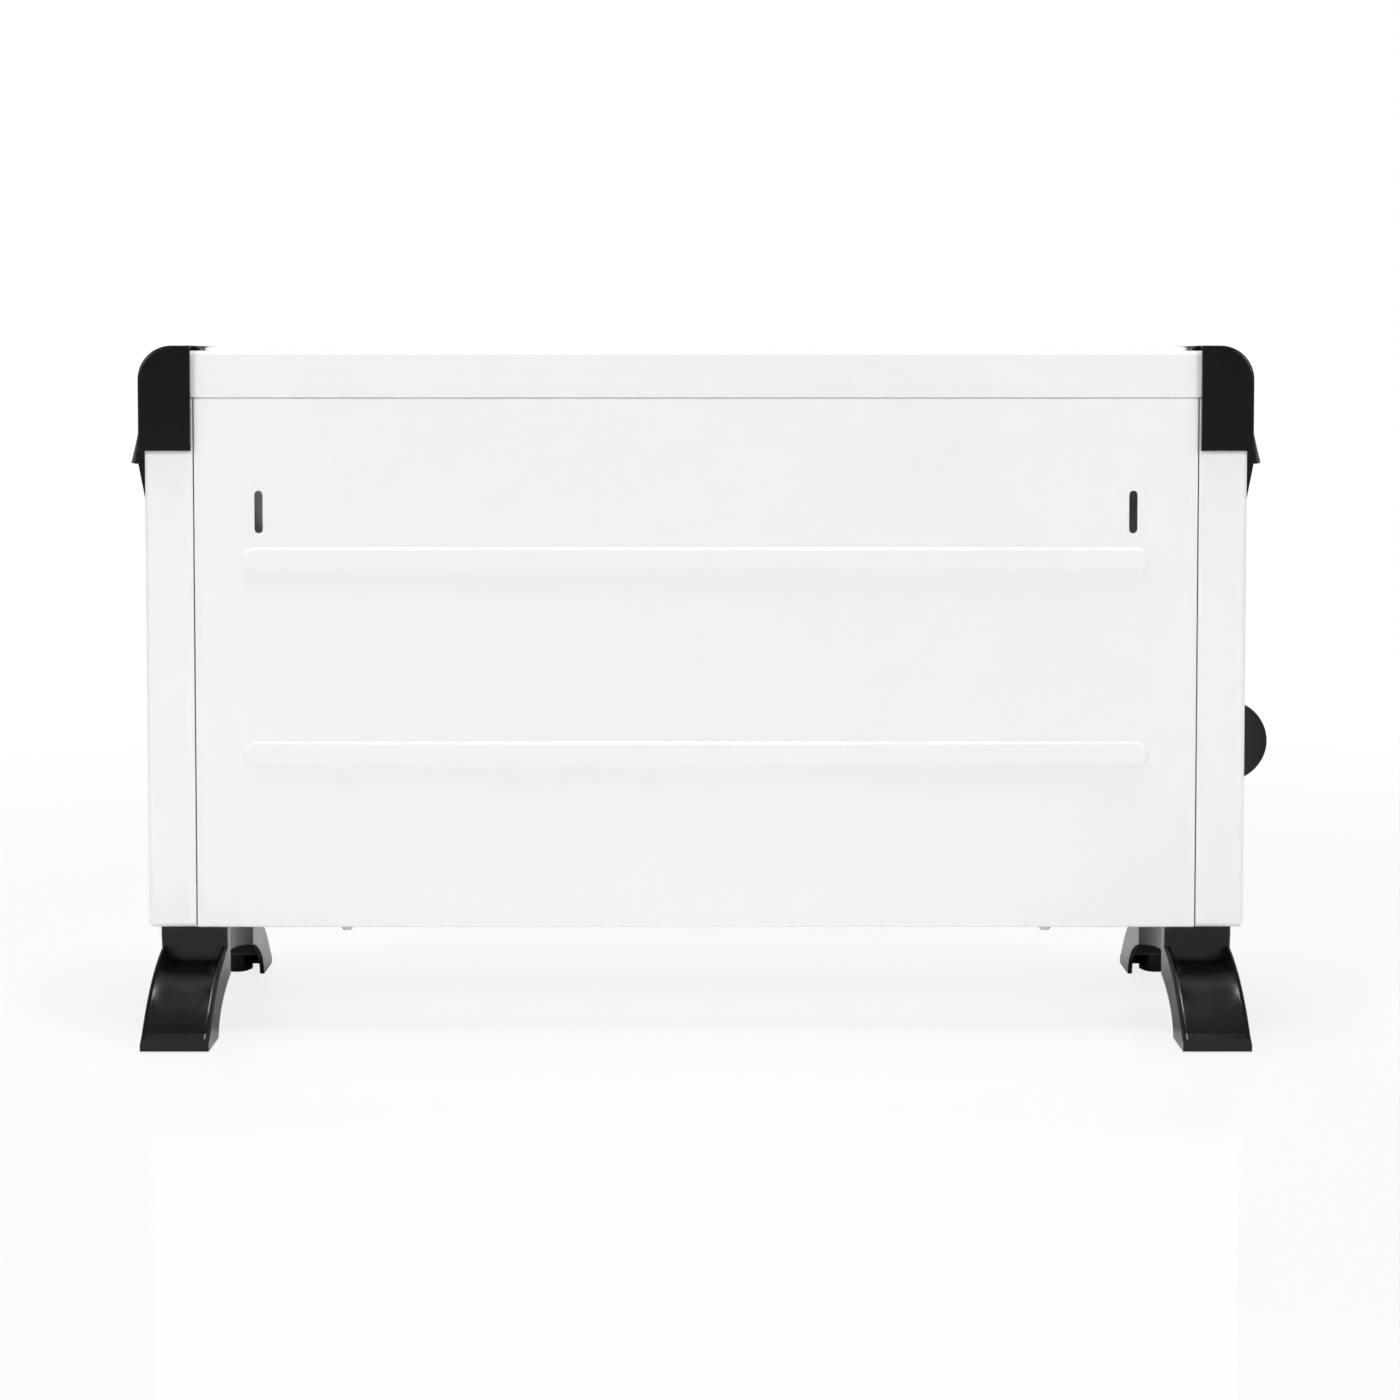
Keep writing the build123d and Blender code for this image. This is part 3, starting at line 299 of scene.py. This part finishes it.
for end, foot in ((-1, "control"), (1, "plain")):
    for way, face in ((-1, "front"), (1, "rear")):
        points = toe_skin(end, way)
        if end * way > 0:
            points = points[:, ::-1]
        grid_mesh(f"toe_skin_{foot}_{face}", points, black, "casing")

# Knob pointer: a white line let into the end of the knob's grip, which shows the setting.
# It follows the grip's round crest and rides with the knob.
POINTER_HALF_WIDTH = 0.0006
POINTER_FROM = 12.0
POINTER_TO = 58.0
POINTER_ROWS = 16
knob_radius = (knob_high.z - knob_low.z) / 2
knob_back = knob_high.x


def pointer_strip():
    """A narrow band on the dome's great circle: the angle climbs from the rim to the crest."""
    climb = np.radians(np.linspace(POINTER_FROM, POINTER_TO, POINTER_ROWS))[:, None]
    across = np.array([1, -1])[None, :] * POINTER_HALF_WIDTH
    radius = knob_radius + INK_LIFT
    out = np.broadcast_to(knob_back - radius * np.sin(climb), (POINTER_ROWS, 2))
    up = np.broadcast_to(knob_z + radius * np.cos(climb), (POINTER_ROWS, 2))
    return np.stack([out, np.broadcast_to(across, (POINTER_ROWS, 2)), up], axis=-1)


grid_mesh("knob_pointer", pointer_strip(), ink, "dial")

# Rocker marks: a bar for on and a ring for off, printed on each rocker's dished face.
# They ride with their rocker, which rests tipped to off.
ROCKER_TILT = radians(-10)
DISH_FLOOR = 0.0048
DISH_RADIUS = 0.0240
MARK_PLACE = 0.0046
MARK_HALF = 0.0017
MARK_LINE = 0.00028
BAR_ROWS = 5
RING_POINTS = 32


def on_rocker(pivot, along, across):
    """Lay points on the rocker's dished face: along runs up the rocker, across runs to one side,
    and the face rises from its floor with the square of the distance along."""
    lift = DISH_FLOOR + along**2 / (2 * DISH_RADIUS) + INK_LIFT
    x = pivot[0] + along * sin(ROCKER_TILT) - lift * cos(ROCKER_TILT)
    z = pivot[2] + along * cos(ROCKER_TILT) + lift * sin(ROCKER_TILT)
    return np.stack([x, np.broadcast_to(across, x.shape), z], axis=-1)


for level in ("low", "high"):
    pivot = joints[f"rocker_{level}_tilt"]["pos_m"]
    bar = np.linspace(MARK_PLACE - MARK_HALF, MARK_PLACE + MARK_HALF, BAR_ROWS)
    along = bar[:, None] + np.zeros((1, 2))
    across = np.array([1, -1])[None, :] * MARK_LINE + np.zeros((BAR_ROWS, 1))
    on_mark = on_rocker(pivot, along, across)
    grid_mesh(f"rocker_{level}_on_mark", on_mark, ink, f"rocker_{level}")
    sweep = np.linspace(0, 2 * pi, RING_POINTS, endpoint=False)[None, :]
    ring = np.array([MARK_HALF - MARK_LINE, MARK_HALF + MARK_LINE])[:, None]
    along = -MARK_PLACE + ring * np.sin(sweep)
    across = ring * np.cos(sweep)
    off_mark = on_rocker(pivot, along, across)
    grid_mesh(f"rocker_{level}_off_mark", off_mark, ink, f"rocker_{level}", wrap=True)

# Floor: a plain pale studio table with a faint polish, level under the pads. Part of its light is
# its own to the camera, and with distance it turns to plain white and loses its polish.
FLOOR_HALF = 9.0
FLOOR_COLOUR = (0.93, 0.93, 0.93, 1)
FLOOR_GLOW = 0.86
FLOOR_POLISH = 0.05
FLOOR_POLISH_ROUGHNESS = 0.06
FLOOR_NEAR = 0.45
FLOOR_FAR = 1.3
floor_mesh = bpy.data.meshes.new("floor")
floor_corners = [(-FLOOR_HALF, -FLOOR_HALF, 0), (FLOOR_HALF, -FLOOR_HALF, 0), (FLOOR_HALF, FLOOR_HALF, 0),
                 (-FLOOR_HALF, FLOOR_HALF, 0)]
floor_mesh.from_pydata(floor_corners, [], [(0, 1, 2, 3)])
floor = bpy.data.objects.new("floor", floor_mesh)
bpy.context.collection.objects.link(floor)
floor_material = bpy.data.materials.new("studio_floor")
floor_material.use_nodes = True
tree = floor_material.node_tree
tree.nodes.clear()
matt = tree.nodes.new("ShaderNodeBsdfDiffuse")
matt.inputs["Color"].default_value = FLOOR_COLOUR
glow = tree.nodes.new("ShaderNodeEmission")
rays = tree.nodes.new("ShaderNodeLightPath")
place = tree.nodes.new("ShaderNodeTexCoord")
distance = tree.nodes.new("ShaderNodeVectorMath")
distance.operation = "LENGTH"
tree.links.new(place.outputs["Object"], distance.inputs[0])
fades = {}
for effect, near, far in (("glow", FLOOR_GLOW, 1.0), ("polish", FLOOR_POLISH, 0.0)):
    fade = tree.nodes.new("ShaderNodeMapRange")
    fade.interpolation_type = "SMOOTHSTEP"
    fade.inputs["From Min"].default_value = FLOOR_NEAR
    fade.inputs["From Max"].default_value = FLOOR_FAR
    fade.inputs["To Min"].default_value = near
    fade.inputs["To Max"].default_value = far
    tree.links.new(distance.outputs["Value"], fade.inputs["Value"])
    fades[effect] = fade.outputs["Result"]
seen = tree.nodes.new("ShaderNodeMath")
seen.operation = "MULTIPLY"
tree.links.new(fades["glow"], seen.inputs[1])
tree.links.new(rays.outputs["Is Camera Ray"], seen.inputs[0])
blend = tree.nodes.new("ShaderNodeMixShader")
tree.links.new(seen.outputs["Value"], blend.inputs["Fac"])
tree.links.new(matt.outputs["BSDF"], blend.inputs[1])
tree.links.new(glow.outputs["Emission"], blend.inputs[2])
polish = tree.nodes.new("ShaderNodeBsdfGlossy")
polish.inputs["Roughness"].default_value = FLOOR_POLISH_ROUGHNESS
shine = tree.nodes.new("ShaderNodeMixShader")
tree.links.new(fades["polish"], shine.inputs["Fac"])
tree.links.new(blend.outputs["Shader"], shine.inputs[1])
tree.links.new(polish.outputs["BSDF"], shine.inputs[2])
surface = tree.nodes.new("ShaderNodeOutputMaterial")
tree.links.new(shine.outputs["Shader"], surface.inputs["Surface"])
floor_mesh.materials.append(floor_material)

# Background and lamps: white to the camera and a dim room to everything else, with a small lamp
# overhead for crisp edges, one on each side of the camera, and one in front that mirrors don't show.
ROOM_STRENGTH = 0.2
world = bpy.data.worlds.new("studio")
bpy.context.scene.world = world
world.use_nodes = True
tree = world.node_tree
background = tree.nodes["Background"]
background.inputs["Color"].default_value = (1, 1, 1, 1)
rays = tree.nodes.new("ShaderNodeLightPath")
level = tree.nodes.new("ShaderNodeMapRange")
level.inputs["To Min"].default_value = ROOM_STRENGTH
level.inputs["To Max"].default_value = 1.0
tree.links.new(rays.outputs["Is Camera Ray"], level.inputs["Value"])
tree.links.new(level.outputs["Result"], background.inputs["Strength"])


def softbox(name, place, size, watts):
    """A square area lamp that faces the heater's middle."""
    lamp = bpy.data.lights.new(name, "AREA")
    lamp.size = size
    lamp.energy = watts
    box = bpy.data.objects.new(name, lamp)
    box.location = place
    aim = Matrix.Translation((0, 0, 0.2)).translation - box.location
    box.rotation_euler = aim.to_track_quat("-Z", "Y").to_euler()
    bpy.context.collection.objects.link(box)
    return box


softbox("lamp_overhead", (0, 0.2, 2.4), 0.6, 30)
softbox("lamp_left", (2.0, 1.9, 1.3), 1.0, 27.5)
softbox("lamp_right", (-2.0, 1.9, 1.3), 1.0, 27.5)
front_box = softbox("lamp_front", (0.8, -2.4, 1.5), 1.6, 32)
front_box.visible_glossy = False

# Camera: behind the heater, square to it, at the photograph's height and distance.
# Most of the drop to the heater is lens shift, so its uprights stay upright.
LENS = 69.6
SENSOR = 36.0
CAMERA_PLACE = (0.0, 1.481, 0.353)
HORIZON_RISE = 0.2386
CAMERA_SHIFT_Y = -0.15
CAMERA_SHIFT_X = 0.0029
camera = bpy.data.objects.new("camera", bpy.data.cameras.new("camera"))
camera.data.sensor_width = SENSOR
camera.data.lens = LENS
camera.data.shift_x = CAMERA_SHIFT_X
camera.data.shift_y = CAMERA_SHIFT_Y
pitch = atan((HORIZON_RISE + CAMERA_SHIFT_Y) * SENSOR / LENS)
camera.location = CAMERA_PLACE
camera.rotation_euler = (pi / 2 - pitch, 0, pi)
bpy.context.collection.objects.link(camera)
bpy.context.scene.camera = camera
bpy.context.scene.view_settings.view_transform = "Standard"
